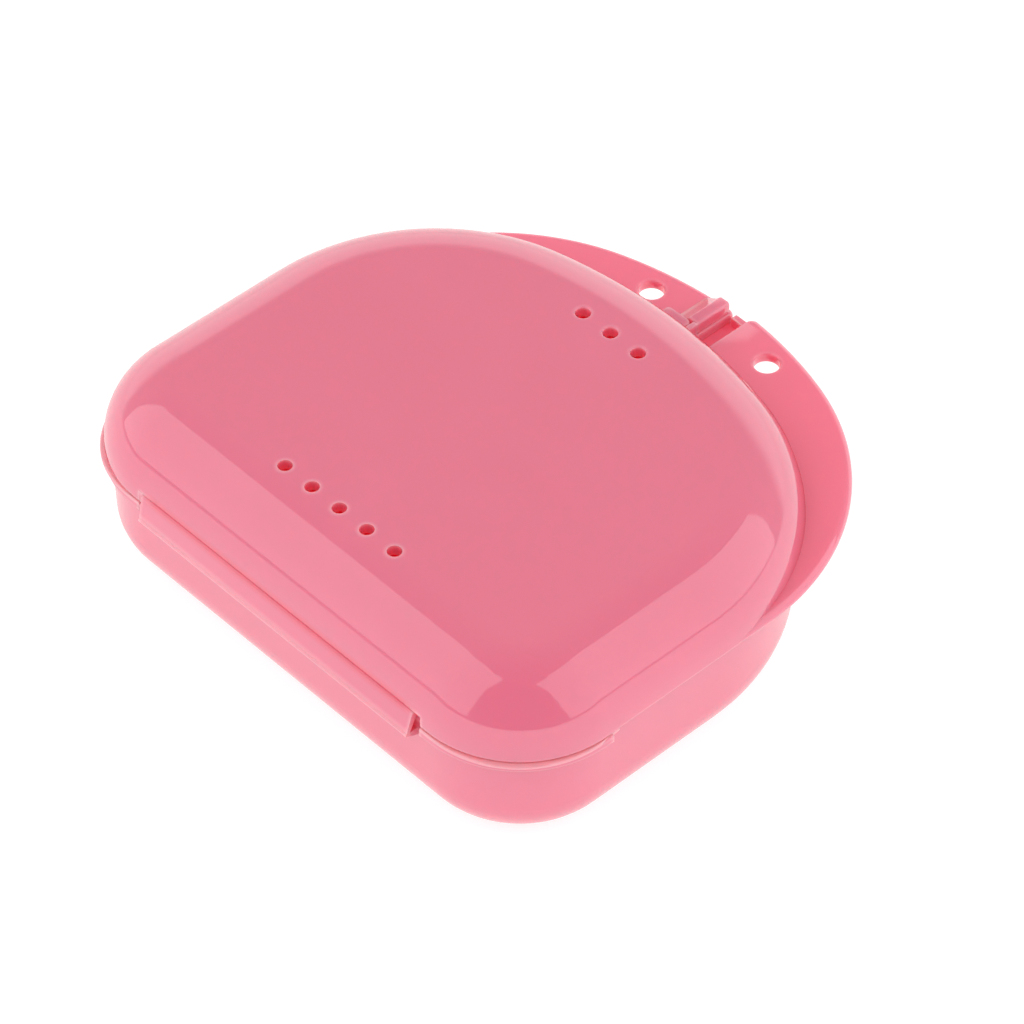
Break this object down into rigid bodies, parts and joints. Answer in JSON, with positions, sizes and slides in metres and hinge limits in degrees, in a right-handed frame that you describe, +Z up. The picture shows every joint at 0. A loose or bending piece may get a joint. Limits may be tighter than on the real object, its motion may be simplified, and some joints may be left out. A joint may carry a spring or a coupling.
{
  "type": "retainer case",
  "caption": "Flat pocket case for a dental retainer: a vented domed lid on a shallow tray, joined by a living hinge, with a crescent finger tab and a snap latch.",
  "frame": {"origin": "under the middle of the closed case's box, on the surface that it stands on", "axes": "+Z up, +Y towards the hinge, -Y towards the finger tabs, +X towards the tray's half of the finger tab"},
  "size_m": [0.08, 0.0752, 0.0254],
  "materials": {
    "pink_polypropylene": "gloss"
  },
  "bodies": {
    "tray": {"base_tray": "pink_polypropylene", "tray_finger_tab": "pink_polypropylene", "guide_rim": "pink_polypropylene", "hinge_shelf": "pink_polypropylene", "latch_rib": "pink_polypropylene", "latch_sill": "pink_polypropylene"},
    "leaf": {"hinge_leaf": "pink_polypropylene"},
    "lid": {"lid_shell": "pink_polypropylene", "lid_finger_tab": "pink_polypropylene", "latch_tongue": "pink_polypropylene", "latch_keeper": "pink_polypropylene"}
  },
  "joints": [
    {"name": "lower_fold", "type": "hinge", "parent": "tray", "child": "leaf", "pos_m": [0, 0.0373, 0.01355], "axis": [-1, 0, 0], "range_deg": [0, 108]},
    {"name": "upper_fold", "type": "hinge", "parent": "leaf", "child": "lid", "pos_m": [0, 0.03635, 0.01645], "axis": [-1, 0, 0], "range_deg": [0, 72.5]}
  ],
  "couplings": [
    {"joint": "upper_fold", "follows": "lower_fold", "ratio": 0.66667}
  ]
}
